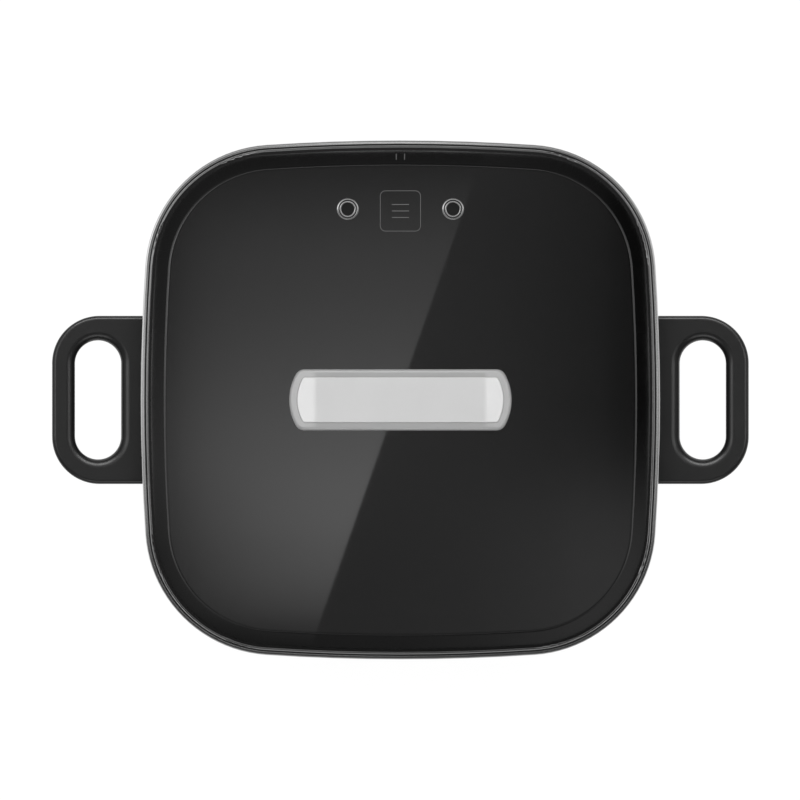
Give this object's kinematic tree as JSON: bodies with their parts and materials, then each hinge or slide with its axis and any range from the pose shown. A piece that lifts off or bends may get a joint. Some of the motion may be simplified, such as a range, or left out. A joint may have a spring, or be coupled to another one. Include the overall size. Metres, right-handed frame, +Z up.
{
  "type": "electric hot pot",
  "caption": "Square electric hot pot: heating base with front power knob, lift-out pot with two loop handles, and lift-off dark glass lid with steam vents and a bar handle.",
  "frame": {"origin": "on the table under the middle of the pot", "axes": "+Z up, +X along the line through the two pot handles, -Y is the front with the power knob"},
  "size_m": [0.411, 0.306, 0.1869],
  "materials": {
    "black_shell": "satin moulded plastic",
    "black_handle": "satin phenolic plastic",
    "knob_plastic": "fine matt plastic",
    "rubber": "matt",
    "silicone": "satin silicone",
    "polished_steel": "polished",
    "brushed_steel": "brushed",
    "screw_steel": "machined",
    "spring_steel": "bright",
    "plate_aluminium": "turned",
    "probe_aluminium": "spun",
    "element_steel": "oxidised",
    "pot_coating": "satin non-stick coating",
    "dark_glass": "polished smoked glass",
    "silver_paint": "satin silver",
    "silver_plate": "satin",
    "knob_metal": "spun",
    "white_mark": "gloss",
    "lens_red": "clear gloss",
    "circuit_board": "satin",
    "component_black": "matt",
    "component_blue": "matt",
    "component_core": "varnished",
    "component_can": "sleeved",
    "contact_brass": "plated",
    "wire_brown": "satin",
    "wire_white": "glass sleeve",
    "wire_green": "satin"
  },
  "bodies": {
    "base": {"base_housing": "black_shell", "bottom_cover": "black_shell", "rubber_feet": "rubber", "cover_screws": "screw_steel", "heating_plate": "plate_aluminium", "heating_element": "element_steel", "element_terminals": "contact_brass", "plate_seal": "silicone", "heat_shield": "spring_steel", "shield_screws": "screw_steel", "plate_screws": "screw_steel", "probe_guide": "plate_aluminium", "thermal_fuse": "component_can", "fuse_clip": "spring_steel", "control_panel": "black_shell", "control_board": "circuit_board", "control_board_screws": "screw_steel", "rotary_switch": "component_black", "switch_nut": "brushed_steel", "indicator_lens": "lens_red", "indicator_led": "lens_red", "power_board": "circuit_board", "power_board_screws": "screw_steel", "power_relay": "component_black", "transformer": "component_core", "filter_capacitors": "component_can", "terminal_block": "component_blue", "power_inlet": "component_black", "inlet_pins": "contact_brass", "inlet_screws": "screw_steel", "mains_wires": "wire_brown", "element_wires": "wire_white", "earth_wire": "wire_green", "signal_cable": "wire_brown"},
    "knob": {"control_knob": "knob_plastic", "knob_face": "knob_metal", "knob_pointer": "white_mark", "knob_shaft": "knob_metal"},
    "probe": {"probe_cap": "probe_aluminium", "thermistor": "component_black", "probe_spring": "spring_steel"},
    "pot": {"pot_body": "pot_coating", "pot_trim_ring": "polished_steel", "left_pot_handle": "black_handle", "right_pot_handle": "black_handle", "left_handle_bracket": "brushed_steel", "right_handle_bracket": "brushed_steel", "handle_bracket_screws": "screw_steel"},
    "lid": {"lid_rim": "brushed_steel", "lid_glass": "dark_glass", "lid_gasket": "silicone", "left_steam_vent": "polished_steel", "right_steam_vent": "polished_steel", "lid_handle": "silver_paint", "lid_handle_inlay": "silver_plate", "lid_handle_pads": "silicone", "lid_handle_screws": "screw_steel", "lid_handle_washers": "brushed_steel"}
  },
  "joints": [
    {"name": "pot_lift", "type": "slide", "parent": "base", "child": "pot", "axis": [0, 0, 1], "range_m": [0, 0.15]},
    {"name": "lid_lift", "type": "slide", "parent": "pot", "child": "lid", "axis": [0, 0, 1], "range_m": [0, 0.15]},
    {"name": "knob_turn", "type": "hinge", "parent": "base", "child": "knob", "pos_m": [0, -0.1388, 0.036], "axis": [0, 1, 0], "range_deg": [0, 270]},
    {"name": "probe_press", "type": "slide", "parent": "base", "child": "probe", "axis": [0, 0, 1], "range_m": [-0.003, 0], "stiffness_N_per_m": 600, "springref_m": 0.002, "deforming": ["probe_spring"]}
  ]
}
